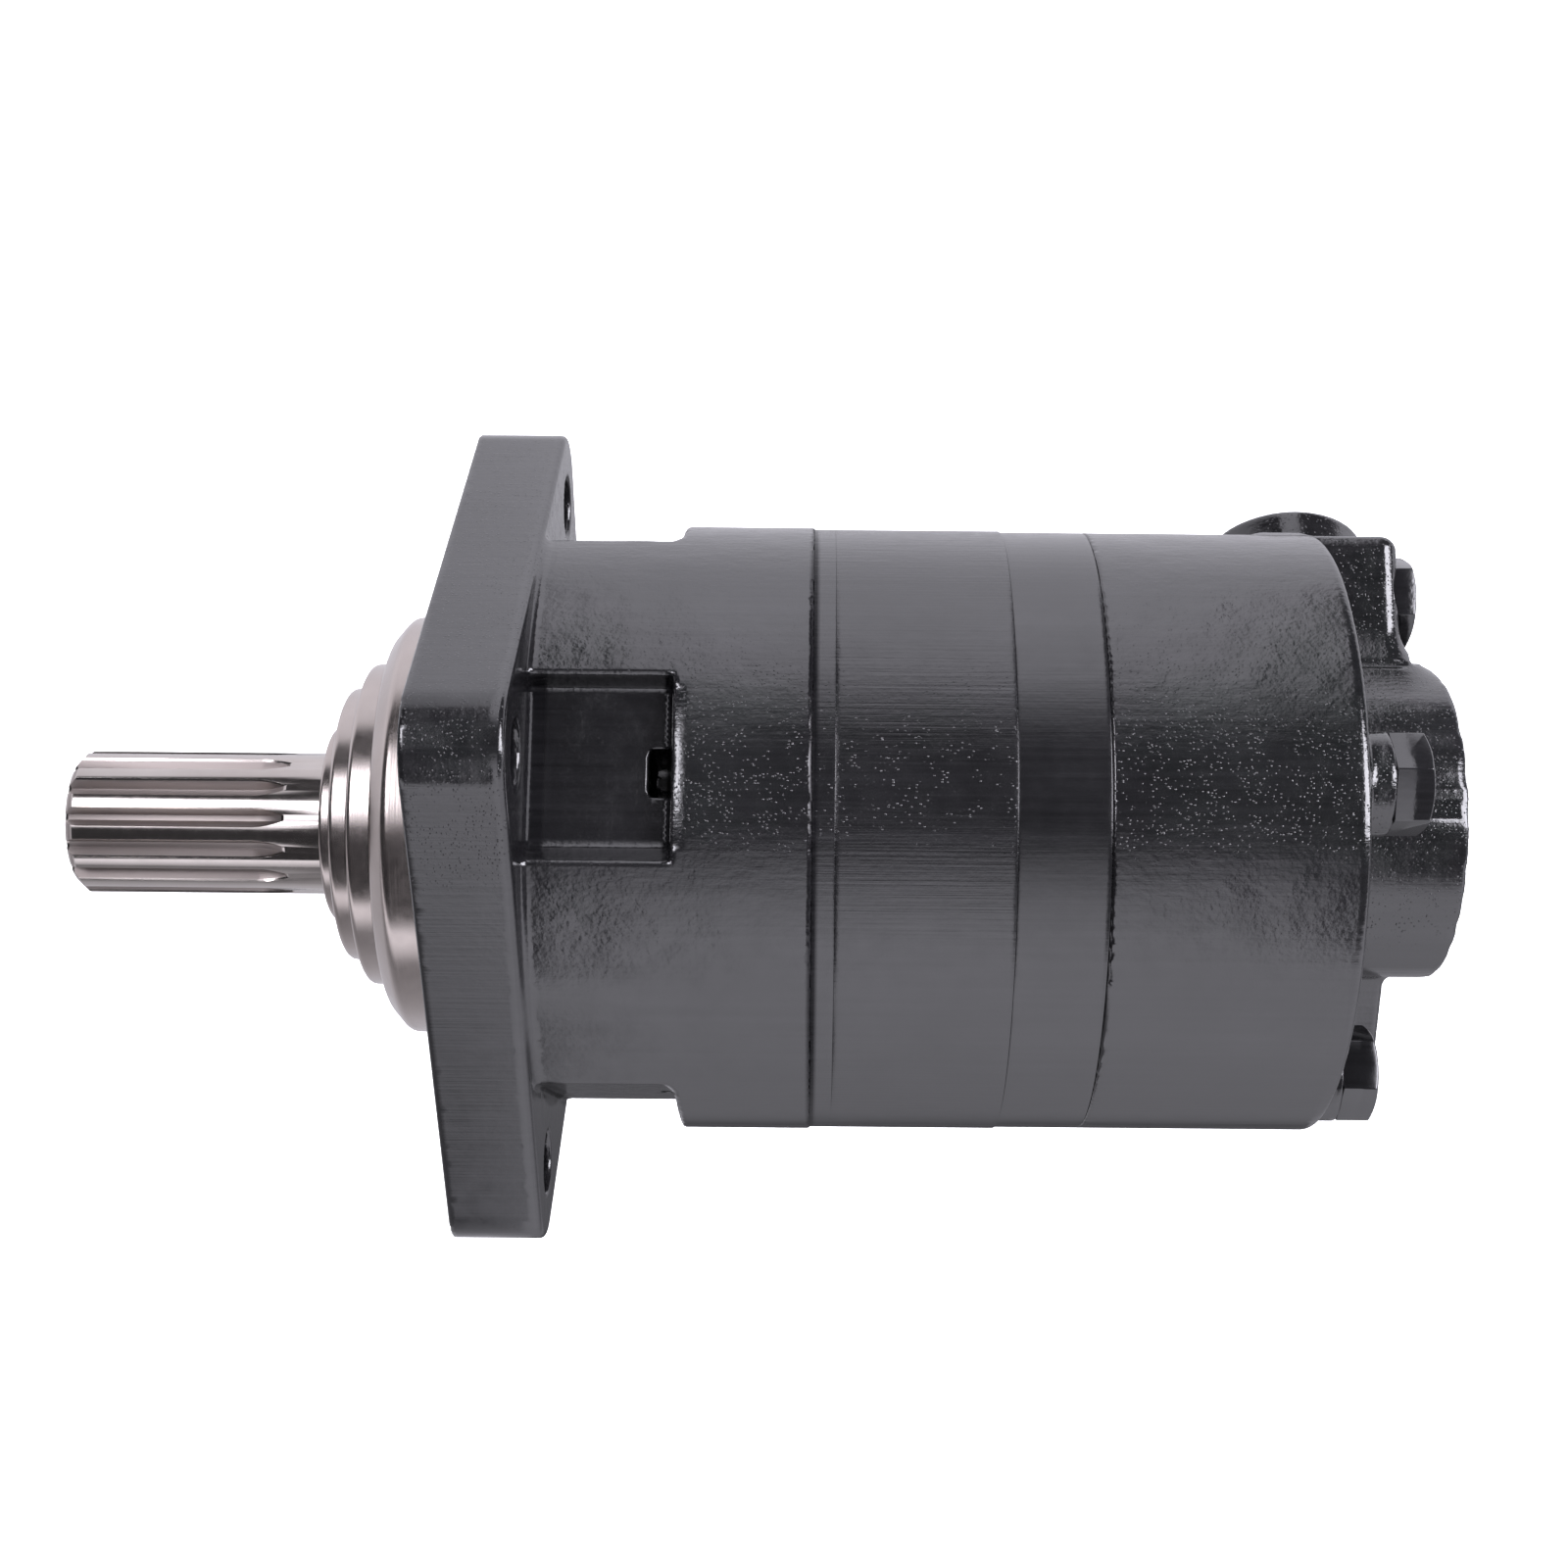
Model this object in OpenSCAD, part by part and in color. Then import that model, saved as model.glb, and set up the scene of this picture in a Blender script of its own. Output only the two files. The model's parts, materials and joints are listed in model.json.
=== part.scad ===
// Low-speed high-torque hydraulic motor with a square mounting flange.
// The origin is the centre of the flange's mounting face. +X runs from the output shaft
// towards the port end, and +Z is up. The flange flats are parallel to Y and Z.
// Every length is in millimetres and every angle in degrees.
// An angle around the shaft is counted from +Y towards +Z.

/* [Mounting flange] */
// Width and height of the square flange
flange_w = 135.3; // [130:0.1:142]
// Thickness of the flange
flange_t = 19.6; // [18.6:0.1:19.6]
// Radius of the flange corners
flange_corner_r = 13.5; // [9:0.5:18]
// Diameter of the circle through the four mounting holes
flange_pcd = 147.6; // [145:0.1:150]
// Diameter of each mounting hole
flange_hole_d = 13.6; // [11:0.1:14.5]

/* [Pilot nose] */
// Diameter of the locating pilot in front of the flange
pilot_d = 91.6; // [88:0.1:96]
// Length of the straight part of the pilot
pilot_len = 10.8; // [9:0.1:12]
// How far the nose stands in front of the flange
nose_len = 29.1; // [27:0.1:32]
// Diameter of the nose's front step
step1_d = 42.6; // [40.4:0.1:52]
// Diameter of the nose's second step
step2_d = 60; // [56:0.1:66]
// Diameter of the nose's third step
step3_d = 70.8; // [69:0.1:80]
// Distance of the second step's front from the flange
step2_x = 25.3; // [25.1:0.1:25.9]
// Distance of the third step's front from the flange
step3_x = 20.5; // [18:0.1:23]
// Distance of the front of the pilot's chamfer from the flange
chamfer_x = 14.6; // [13:0.1:16]

/* [Output shaft] */
// Diameter of the shaft over its splines
shaft_d = 31.2; // [30:0.1:31.6]
// How far the shaft end stands in front of the flange
shaft_len = 85.3; // [75:0.1:100]
// Number of external spline teeth
spline_teeth = 14; // [12:1:16]
// Length of spline cut to full depth, from the shaft end
spline_len = 40.4; // [30:0.1:44]
// Depth of the spline grooves
spline_depth = 2.4; // [1.5:0.1:2.8]
// Width of each spline tooth at its tip
spline_land = 2.5; // [2:0.1:3.2]
// Radius of the cutter that leaves the groove run-outs
cutter_r = 12.3; // [8:0.1:16]

/* [Body sections] */
// Diameter of the bearing housing body
housing_d = 132; // [130:0.1:134]
// Diameter of the gerotor ring and the wear plate
ring_d = 131.3; // [129:0.1:132]
// Diameter of the valve plate and the valve housing
valve_d = 130.8; // [129:0.1:132]
// Radius of the fillet between the flange and the bearing housing body
body_fillet_r = 1.5; // [1:0.5:2]
// Distance of the bearing housing's rear face from the flange face
housing_x = 76; // [75:0.1:79]
// Thickness of the wear plate
wear_t = 4.5; // [4:0.1:6]
// Thickness of the gerotor ring, which sets the displacement
ring_t = 35.4; // [35:0.1:37]
// Thickness of the valve plate
plate_t = 18.2; // [17:0.1:19]
// Length of the valve housing from its front face to its rim
valve_housing_len = 50.3; // [49:0.1:52]
// Radius of the rounded rear rim
rim_r = 1.5; // [1:0.5:4]

/* [Wrench pockets] */
// Distance of the pockets' rear wall from the flange face
pocket_x = 48.5; // [44:0.1:52]
// Distance of the two narrow pockets' floor from the shaft axis
pocket_floor = 57.5; // [57:0.1:60]
// Reach of the narrow pockets' floor on the side that faces the upper wide pocket
pocket_floor_a = 17; // [14:0.1:18]
// Reach of the narrow pockets' floor on the other side
pocket_floor_b = 14.7; // [12:0.1:18]
// Half the width of the narrow pockets' mouth
pocket_mouth = 18.8; // [18.2:0.1:21]
// Angle of the upper wide pocket
wide_upper_angle = 50.5; // [45:0.5:55]
// Distance of the upper wide pocket's floor from the shaft axis
wide_upper_floor = 57.3; // [57:0.1:61]
// Angle of the lower wide pocket
wide_lower_angle = 225.8; // [220:0.1:230]
// Distance of the lower wide pocket's floor from the shaft axis
wide_lower_floor = 58.6; // [57:0.1:61]

/* [Rear end] */
// Diameter of the rear boss
boss_d = 68; // [64:0.1:70]
// Distance of the rear boss's end from the flange face
boss_x = 213.3; // [208:0.1:216]
// Sideways offset of the rear boss towards the ports
boss_offset = 3.5; // [0:0.1:5]
// Distance of the arms' rear face from the flange face
arm_x = 205.5; // [204:0.1:207]
// Width of each arm that carries a case bolt
arm_w = 24.6; // [23.4:0.1:27]
// Distance of the arms' outer face from the shaft axis
arm_reach = 65.4; // [64.6:0.1:65.4]
// Distance of the case bolt seats in the arms from the flange face
arm_seat_x = 202.1; // [200:0.1:203.5]
// Diameter of the two round bolt seats
seat_d = 21; // [20.5:0.1:24]
// Distance of the round seats' face from the flange face
seat_x = 189.8; // [187:0.1:192]

/* [Ports] */
// Angle of each port above and below the +Y direction
port_angle = 27; // [25:0.5:29]
// Distance of the port axes from the flange face
port_x = 187; // [185.5:0.1:187.5]
// Diameter of the port bosses
port_boss_d = 36.8; // [33:0.1:37]
// Distance of the port faces from the shaft axis
port_face = 74.9; // [73:0.1:78]
// Diameter of the port threads at their crests
port_d = 24.8; // [20:0.1:25]
// Depth of the port threads
port_depth = 16.5; // [12:0.1:17]

/* [Case bolts] */
// Diameter of the case bolts
bolt_d = 12.7; // [11:0.1:12.8]
// Distance of the case bolts from the shaft axis
bolt_r = 53; // [52.6:0.1:53.4]
// Width across the flats of the bolt heads
bolt_af = 18.3; // [17:0.1:19.4]
// Height of the bolt heads
bolt_head_t = 7.9; // [6:0.1:9]
// Turn of the two lower-seated bolt heads
bolt_turn = -6; // [-30:1:30]
// Distance of the threaded ends of the bolts from the flange face
bolt_end_x = 49.4; // [49:0.1:56]
// Distance of the front end of the bolt holes from the flange face
bolt_hole_x = 44; // [42:0.1:46]

/* [Gerotor set] */
// Radius of the circle through the roller centres
roller_pitch_r = 34.5; // [34.3:0.1:34.7]
// Radius of each roller
roller_r = 7.5; // [7.3:0.1:7.6]
// Offset of the rotor from the shaft axis
rotor_offset = 3.2; // [3:0.05:3.3]

/* [Hidden] */
$fn = 96;
eps = 0.02;
rollers = 7;
lobes = rollers - 1;
rotor_gap = 0.06;
ring_x = housing_x + wear_t;
plate_x = ring_x + ring_t;
valve_x = plate_x + plate_t;
rim_x = valve_x + valve_housing_len;
mount_angles = [45, 135, 225, 315];
front_bearing_x = 8;
rear_bearing_x = 46;
bearing_w = 20;
bearing_bore = 20;
bearing_cup_r = 40;
roller_lean = 12.8;
nose_seat_x = 3;
seat_r = pilot_d / 2 + 0.5;
link_teeth = 12;
link_front_x = 30;
link_rear_x = ring_x + 10;
valve_link_x = plate_x - 7.4;
valve_link_end = valve_x + 18.4;
link_tilt = atan(rotor_offset / (link_rear_x - link_front_x));
valve_link_tilt = atan(rotor_offset / (valve_link_end - valve_link_x));
disc_x = valve_x + 0.02;
disc_t = 24.4;
balance_x = disc_x + disc_t + 0.05;

// Which sub-part to draw, or all of them

// Turns a profile of [radius, X] points around the shaft axis.
module turned(points) {
    rotate([90, 0, 90]) rotate_extrude() polygon(points);
}

// Extrudes a drawing in the YZ plane from x0 to x1.
module along_x(x0, x1) {
    translate([x0, 0, 0]) rotate([90, 0, 90]) linear_extrude(x1 - x0) children();
}

module rod(r, x0, x1) {
    along_x(x0, x1) circle(r);
}

module tube(r0, r1, x0, x1) {
    along_x(x0, x1) difference() {
        circle(r1);
        circle(r0);
    }
}

// Places children at a radius and an angle around the shaft axis.
module around(r, angle) {
    rotate([angle, 0, 0]) translate([0, r, 0]) children();
}

// A square with rounded corners, drawn about the origin.
module rounded_square(w, r) {
    square([w, w - 2 * r], center = true);
    square([w - 2 * r, w], center = true);
    for (x = [-1, 1], y = [-1, 1])
        translate([x * (w / 2 - r), y * (w / 2 - r)]) circle(r);
}

// Clearance holes for the four case bolts.
module bolt_holes(x0, x1, r) {
    for (a = mount_angles) around(bolt_r, a) rod(r, x0, x1);
}

// Half-round groove for a body seal, opening at a face.
module seal_groove(x) {
    turned([[43.2, x], [45.2, x], [45.2, x + 1.5], [43.2, x + 1.5]]);
}

// Spline tooth outline: a disc with evenly spaced straight teeth.
module toothed(root_r, tip_r, teeth, root_w, tip_w) {
    circle(root_r);
    intersection() {
        circle(tip_r);
        for (i = [0:teeth - 1]) rotate(i * 360 / teeth)
            polygon([[root_r - 1, -root_w / 2], [tip_r + 0.5, -tip_w / 2],
                [tip_r + 0.5, tip_w / 2], [root_r - 1, root_w / 2]]);
    }
}

module narrow_pocket(angle) {
    depth = 5.7;
    reach = housing_d / 2 + 4;
    far_a = pocket_floor_a + (pocket_mouth - pocket_floor_a) * (reach - pocket_floor) / depth;
    far_b = pocket_floor_b + (pocket_mouth - pocket_floor_b) * (reach - pocket_floor) / depth;
    rotate([angle, 0, 0]) along_x(flange_t, pocket_x)
        polygon([[pocket_floor, -pocket_floor_a], [reach, -far_a], [reach, far_b],
            [pocket_floor, pocket_floor_b]]);
}

module wide_pocket(angle, floor_r) {
    rotate([angle, 0, 0]) translate([flange_t, floor_r, -50])
        cube([pocket_x - flange_t, 20, 100]);
}

// Round body of the bearing housing, with the fillet where it meets the flange.
module housing_barrel() {
    r = housing_d / 2;
    rotate([90, 0, 90]) rotate_extrude() {
        translate([0, flange_t - 1]) square([r, housing_x - flange_t + 1]);
        difference() {
            translate([r - 1, flange_t - 1]) square([body_fillet_r + 1, body_fillet_r + 1]);
            translate([r + body_fillet_r, flange_t + body_fillet_r]) circle(body_fillet_r);
        }
    }
}

module bearing_housing() {
    color([0.045, 0.045, 0.05]) difference() {
        union() {
            along_x(0, flange_t) rounded_square(flange_w, flange_corner_r);
            housing_barrel();
        }
        narrow_pocket(135);
        narrow_pocket(315);
        wide_pocket(wide_upper_angle, wide_upper_floor);
        wide_pocket(wide_lower_angle, wide_lower_floor);
        for (a = mount_angles) around(flange_pcd / 2, a) rod(flange_hole_d / 2, -1, flange_t + 1);
        bolt_holes(bolt_hole_x, housing_x + 1, bolt_d / 2 + 0.02);
        rod(seat_r + eps, -1, nose_seat_x);
        rod(42, -1, front_bearing_x);
        rod(bearing_cup_r + eps, front_bearing_x - 1, front_bearing_x + bearing_w);
        rod(35, front_bearing_x, rear_bearing_x + 1);
        rod(bearing_cup_r + eps, rear_bearing_x, housing_x + 1);
    }
}

module pilot_nose() {
    r1 = step1_d / 2;
    r2 = step2_d / 2;
    r3 = step3_d / 2;
    r4 = pilot_d / 2;
    color([0.62, 0.57, 0.54]) turned([[19.25, -nose_len], [r1 - 1, -nose_len],
        [r1, 1 - nose_len], [r1, -step2_x],
        [r2 - 1.2, -step2_x], [r2, 1.2 - step2_x], [r2, -step3_x],
        [r3 - 1.2, -step3_x], [r3, 1.2 - step3_x], [r3, -chamfer_x],
        [r4 - 4.4, -chamfer_x], [r4, -pilot_len], [r4, 0],
        [seat_r, 0], [seat_r, nose_seat_x - eps], [42 - eps, nose_seat_x - eps],
        [42 - eps, front_bearing_x - eps], [30, front_bearing_x - eps], [30, -4],
        [28.02, -4], [28.02, -17], [18.3, -17], [18.3, -22], [16, -22], [16, -23.7],
        [19.25, -23.7]]);
}

// Rubber wiper in the mouth of the nose.
module dust_seal() {
    color([0.03, 0.03, 0.03]) turned([[15.64, -26.9], [16.6, -28.7], [19.2, -28.7],
        [19.2, -23.8], [17, -23.8], [15.64, -25.1]]);
}

// High-pressure lip seal on the shaft journal.
module shaft_seal() {
    color([0.05, 0.05, 0.05]) turned([[18.04, -14], [19.2, -16.6], [28, -16.6], [28, -8],
        [25.6, -8], [25.6, -13.6], [20.6, -12.6], [18.8, -11.4], [18.04, -12.4]]);
}

module seal_washer() {
    color([0.6, 0.6, 0.62]) tube(18.5, 28, -7.9, -6.4);
}

// Tapered bearing cup. The wide end of its cone faces x0, or the other end when flipped.
module bearing_cup(x0, flipped) {
    wide = 37.6;
    narrow = 32.4;
    x1 = x0 + bearing_w;
    turned([[flipped ? narrow : wide, x0], [bearing_cup_r, x0], [bearing_cup_r, x1],
        [flipped ? wide : narrow, x1]]);
}

module front_bearing_cup() {
    color([0.7, 0.7, 0.72]) bearing_cup(front_bearing_x, false);
}

module rear_bearing_cup() {
    color([0.7, 0.7, 0.72]) bearing_cup(rear_bearing_x, true);
}

// Tapered bearing cone with a rib at each end of its raceway.
module bearing_cone(x0, flipped) {
    x1 = x0 + bearing_w;
    wide = 29.2;
    narrow = 25.9;
    rib_wide = 33.2;
    rib_narrow = 27.4;
    low = flipped ? narrow : wide;
    high = flipped ? wide : narrow;
    turned([[bearing_bore, x0], [flipped ? rib_narrow : rib_wide, x0],
        [flipped ? rib_narrow : rib_wide, x0 + 1.6], [low, x0 + 1.6],
        [high, x1 - 1.6], [flipped ? rib_wide : rib_narrow, x1 - 1.6],
        [flipped ? rib_wide : rib_narrow, x1], [bearing_bore, x1]]);
}

module front_bearing_cone() {
    color([0.7, 0.7, 0.72]) bearing_cone(front_bearing_x + eps, false);
}

module rear_bearing_cone() {
    color([0.7, 0.7, 0.72]) bearing_cone(rear_bearing_x + eps, true);
}

// One ring of tapered rollers, lying along the raceway.
module taper_rollers(x0, flipped) {
    side = flipped ? -1 : 1;
    mid_x = x0 + bearing_w / 2;
    for (i = [0:17]) rotate([i * 20, 0, 0]) translate([mid_x, 31.28, 0])
        rotate([0, 0, -side * roller_lean]) rotate([0, 90, 0])
            cylinder(h = 14.6, r1 = 3.57 + side * 0.22, r2 = 3.57 - side * 0.22, center = true);
}

module front_bearing_rollers() {
    color([0.75, 0.75, 0.77]) taper_rollers(front_bearing_x, false);
}

module rear_bearing_rollers() {
    color([0.75, 0.75, 0.77]) taper_rollers(rear_bearing_x, true);
}

// Roller cage: two end rings joined by a bar between each pair of rollers.
module roller_cage(x0, flipped) {
    side = flipped ? -1 : 1;
    x1 = x0 + bearing_w;
    front = 32.85 + side * 1.95;
    rear = 32.85 - side * 1.95;
    tube(front - 1.1, front + 1.1, x0 + 0.4, x0 + 1.4);
    tube(rear - 1.1, rear + 1.1, x1 - 1.4, x1 - 0.4);
    for (i = [0:17]) rotate([i * 20 + 10, 0, 0]) translate([(x0 + x1) / 2, 33, 0])
        rotate([0, 0, -side * roller_lean]) cube([18.4, 1.4, 2.2], center = true);
}

module front_bearing_cage() {
    color([0.45, 0.42, 0.38]) roller_cage(front_bearing_x, false);
}

module rear_bearing_cage() {
    color([0.45, 0.42, 0.38]) roller_cage(rear_bearing_x, true);
}

module output_shaft() {
    r = shaft_d / 2;
    root = r - spline_depth;
    full_x = spline_len - shaft_len;
    groove = 2 * PI * r / spline_teeth - spline_land;
    color([0.66, 0.61, 0.58]) difference() {
        turned([[0, -shaft_len], [r - 2, -shaft_len], [r, 2 - shaft_len], [r, -21.7],
            [18, -19.7], [18, -5], [24, -5], [24, front_bearing_x],
            [bearing_bore - eps, front_bearing_x], [bearing_bore - eps, 73], [0, 73]]);
        for (i = [0:spline_teeth - 1]) rotate([(i + 0.5) * 360 / spline_teeth, 0, 0]) {
            along_x(-shaft_len - 1, full_x) polygon([[root, -0.6], [r + 0.6, -groove / 2 - 0.3],
                [r + 0.6, groove / 2 + 0.3], [root, 0.6]]);
            translate([full_x, root + cutter_r, 0]) rotate_extrude() polygon([[0, -groove / 2 - 0.3],
                [cutter_r - spline_depth - 0.6, -groove / 2 - 0.3], [cutter_r, -0.6],
                [cutter_r, 0.6], [cutter_r - spline_depth - 0.6, groove / 2 + 0.3],
                [0, groove / 2 + 0.3]]);
        }
        turned([[0, -shaft_len - 1], [5.4, -shaft_len - 1], [4.2, 1 - shaft_len], [4.2, 24 - shaft_len],
            [0, 26.5 - shaft_len]]);
        along_x(22, link_front_x + 9) toothed(12, 14.2, link_teeth, 5.2, 3.4);
        rod(14.6, link_front_x + 9, 74);
    }
}

module bearing_spacer() {
    color([0.6, 0.6, 0.62]) tube(bearing_bore, 23, front_bearing_x + bearing_w + eps, rear_bearing_x);
}

module bearing_nut() {
    color([0.5, 0.5, 0.52]) difference() {
        rod(27, 66.1, 72.4);
        rod(bearing_bore, 66, 73);
        for (a = [0, 90, 180, 270]) around(27, a) translate([66, -3, -2.5]) cube([7, 6, 5]);
    }
}

module wear_plate() {
    color([0.05, 0.05, 0.055]) difference() {
        rod(ring_d / 2, housing_x, ring_x);
        rod(19, housing_x - 1, ring_x + 1);
        bolt_holes(housing_x - 1, ring_x + 1, bolt_d / 2 + 0.25);
    }
}

module gerotor_ring() {
    color([0.05, 0.05, 0.055]) difference() {
        rod(ring_d / 2, ring_x, plate_x);
        rod(roller_pitch_r - 0.6, ring_x - 1, plate_x + 1);
        for (i = [0:rollers - 1]) rotate([i * 360 / rollers, 0, 0])
            translate([0, roller_pitch_r, 0]) rod(roller_r + 0.03, ring_x - 1, plate_x + 1);
        bolt_holes(ring_x - 1, plate_x + 1, bolt_d / 2 + 0.25);
        seal_groove(ring_x - 0.01);
        seal_groove(plate_x - 1.49);
    }
}

module gerotor_rollers() {
    color([0.78, 0.78, 0.8]) for (i = [0:rollers - 1]) rotate([i * 360 / rollers, 0, 0])
        translate([0, roller_pitch_r, 0]) rod(roller_r, ring_x + eps, plate_x - eps);
}

// Rotor flank: the curve that keeps touching every roller as the rotor orbits.
function rotor_point(t) = let(
    u = roller_pitch_r * cos(t) - rotor_offset * rollers * cos(rollers * t),
    w = roller_pitch_r * sin(t) - rotor_offset * rollers * sin(rollers * t),
    m = sqrt(u * u + w * w),
    rr = roller_r + rotor_gap)
    [roller_pitch_r * cos(t) - rotor_offset * cos(rollers * t) - rr * u / m,
    roller_pitch_r * sin(t) - rotor_offset * sin(rollers * t) - rr * w / m];

module gerotor_rotor() {
    color([0.7, 0.7, 0.73]) translate([0, rotor_offset, 0]) difference() {
        along_x(ring_x + eps, plate_x - eps) polygon([for (i = [0:335]) rotor_point(i * 360 / 336)]);
        along_x(ring_x - 1, plate_x + 1) toothed(12, 14.2, link_teeth, 5.2, 3.4);
    }
}

// Dog-bone link along +X with a crowned spline at each end.
module drive_link(length, end_l, body_r) {
    for (x = [0, length]) intersection() {
        along_x(x - end_l / 2, x + end_l / 2) toothed(11.2, 13.6, link_teeth, 4.1, 2.3);
        translate([x, 0, 0]) sphere(13.75);
    }
    rod(body_r, end_l / 2 - 1, length - end_l / 2 + 1);
}

module main_drive_link() {
    span = (link_rear_x - link_front_x) / cos(link_tilt);
    color([0.55, 0.53, 0.5]) translate([link_front_x, 0, 0]) rotate([0, 0, link_tilt])
        drive_link(span, 10, 9.2);
}

module valve_drive_link() {
    span = (valve_link_end - valve_link_x) / cos(valve_link_tilt);
    color([0.55, 0.53, 0.5]) translate([valve_link_x, rotor_offset, 0])
        rotate([0, 0, -valve_link_tilt]) drive_link(span, 8, 8);
}

// Thrust button between the two links. It follows the rotor centre around its small circle.
module drive_spacer() {
    mid = (link_rear_x + valve_link_x) / 2 + 0.5;
    color([0.65, 0.65, 0.67]) translate([0, rotor_offset, 0]) rod(8, mid - 3.4, mid + 3.4);
}

module valve_plate() {
    color([0.05, 0.05, 0.055]) difference() {
        rod(valve_d / 2, plate_x, valve_x);
        rod(18.5, plate_x - 1, valve_x + 1);
        bolt_holes(plate_x - 1, valve_x + 1, bolt_d / 2 + 0.25);
        for (i = [0:rollers - 1]) around(30, (i + 0.5) * 360 / rollers)
            rod(3.2, plate_x - 1, valve_x + 1);
        seal_groove(valve_x - 1.49);
    }
}

// Round windows alternate around the disc: one set feeds from the rim, the other from behind.
module disc_valve() {
    color([0.68, 0.68, 0.7]) difference() {
        turned([[0, disc_x], [39, disc_x], [39, disc_x + 11], [31, disc_x + 12],
            [31, disc_x + disc_t], [0, disc_x + disc_t]]);
        along_x(disc_x + 10, disc_x + disc_t + 1) toothed(12, 14.2, link_teeth, 5.2, 3.4);
        rod(14.4, disc_x - 1, disc_x + 10.1);
        for (i = [0:lobes - 1]) {
            around(30, i * 360 / lobes) rod(3, disc_x - 1, disc_x + 6);
            around(30, i * 360 / lobes) translate([disc_x + 2, -3, -3]) cube([4, 14, 6]);
            around(27.5, (i + 0.5) * 360 / lobes) rod(3, disc_x - 1, disc_x + disc_t + 1);
        }
    }
}

// Stationary ring that the springs hold against the back of the disc valve.
module balance_ring() {
    color([0.6, 0.6, 0.62]) difference() {
        tube(20, 30.6, balance_x, balance_x + 9);
        for (i = [0:1]) around(25.5, 30 + i * 180) rod(1.55, balance_x + 4, balance_x + 10);
    }
}

module balance_pins() {
    color([0.7, 0.7, 0.72]) for (i = [0:1]) around(25.5, 30 + i * 180)
        rod(1.5, balance_x + 4.4, balance_x + 13.4);
}

// Short compression springs, drawn as stacked rings.
module balance_springs() {
    color([0.5, 0.5, 0.55]) for (a = [90, 150, 270, 330]) around(25.5, a) for (k = [0:4])
        translate([balance_x + 9.42 + k * 0.82, 0, 0]) rotate([90, 0, 90]) rotate_extrude()
            translate([1.7, 0]) circle(0.4, $fn = 16);
}

// Round-section seals in the joints between the body sections.
module body_seals() {
    color([0.03, 0.03, 0.03]) for (x = [ring_x + 0.72, plate_x - 0.72, valve_x - 0.72])
        translate([x, 0, 0]) rotate([90, 0, 90]) rotate_extrude() translate([44.2, 0]) circle(0.7);
}

// Threaded port with its boss, standing radially.
module port_bore(angle, inner) {
    rotate([angle, 0, 0]) translate([port_x, port_face, 0]) rotate([90, 0, 0]) {
        translate([0, 0, -1]) cylinder(h = port_depth + 1, d = port_d);
        translate([0, 0, -1]) cylinder(h = 2.6, r1 = 15.5, r2 = port_d / 2);
        translate([0, 0, -1]) cylinder(h = port_face - inner + 1, r = 7.2);
    }
}

// Arm that reaches out from the rear boss and ends at end_x.
module arm(angle, width, reach, end_x) {
    rotate([angle, 0, 0]) translate([rim_x - 14, 20, -width / 2])
        cube([end_x - rim_x + 14, reach - 20, width]);
}

// Outside of the valve housing, before the bores.
module valve_housing_body() {
    r = valve_d / 2;
    rotate([90, 0, 90]) rotate_extrude() union() {
        translate([0, valve_x]) square([r, rim_x - valve_x - rim_r]);
        translate([0, valve_x]) square([r - rim_r, rim_x - valve_x]);
        translate([r - rim_r, rim_x - rim_r]) circle(rim_r);
    }
    translate([0, boss_offset, 0]) rotate([90, 0, 90]) rotate_extrude() union() {
        translate([0, rim_x - 6]) square([boss_d / 2, boss_x - rim_x + 4.8]);
        translate([0, rim_x - 6]) square([boss_d / 2 - 1.2, boss_x - rim_x + 6]);
        translate([boss_d / 2 - 1.2, boss_x - 1.2]) circle(1.2);
    }
    for (a = [45, 315]) arm(a, arm_w, arm_reach, arm_x);
    arm(258, 16, 63, arm_x - 0.9);
    for (a = [135, 225]) around(bolt_r, a) rod(seat_d / 2, rim_x - 12, seat_x);
    for (a = [-port_angle, port_angle]) rotate([a, 0, 0])
        translate([port_x, 25, 0]) rotate([-90, 0, 0]) cylinder(h = port_face - 25, d = port_boss_d);
}

module valve_housing() {
    color([0.045, 0.045, 0.05]) difference() {
        valve_housing_body();
        bolt_holes(valve_x - 1, arm_x + 1, bolt_d / 2 + 0.25);
        for (a = [45, 315]) around(bolt_r, a) rod(11.4, arm_seat_x, arm_x + 1);
        rod(42.4, valve_x - 1, valve_x + 22);
        rod(31.2, valve_x + 21, balance_x + 9.2);
        rod(18, balance_x, balance_x + 26);
        for (a = [90, 150, 270, 330]) around(25.5, a) rod(2.6, balance_x + 9, balance_x + 13.2);
        for (i = [0:1]) around(25.5, 30 + i * 180) rod(1.6, balance_x + 9, balance_x + 13.6);
        port_bore(port_angle, 42);
        port_bore(-port_angle, 14);
        around(45, port_angle) rod(5, valve_x + 10, port_x);
        translate([valve_x + 15, 0, 0]) rotate([-90, 0, 0]) cylinder(h = 80, r = 5.2);
        translate([valve_x + 15, valve_d / 2 - 2.6, 0]) rotate([-90, 0, 0]) cylinder(h = 5, r = 10.6);
        translate([valve_x + 15, valve_d / 2 - 4.6, 0]) rotate([-90, 0, 0]) cylinder(h = 3, r = 6.6);
    }
}

// Hex-head plug in the case drain port.
module drain_plug() {
    color([0.5, 0.5, 0.52]) translate([valve_x + 15, valve_d / 2 - 2.6, 0]) rotate([-90, 0, 0])
        difference() {
            union() {
                cylinder(h = 5.6, d = 17.6, $fn = 6);
                translate([0, 0, -12]) cylinder(h = 13, r = 5.18);
            }
            translate([0, 0, 1.4]) cylinder(h = 6, d = 7.3, $fn = 6);
        }
}

module drain_seal() {
    color([0.03, 0.03, 0.03]) translate([valve_x + 15, valve_d / 2 - 3.6, 0])
        rotate([-90, 0, 0]) rotate_extrude() translate([5.9, 0]) circle(0.68);
}

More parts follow.
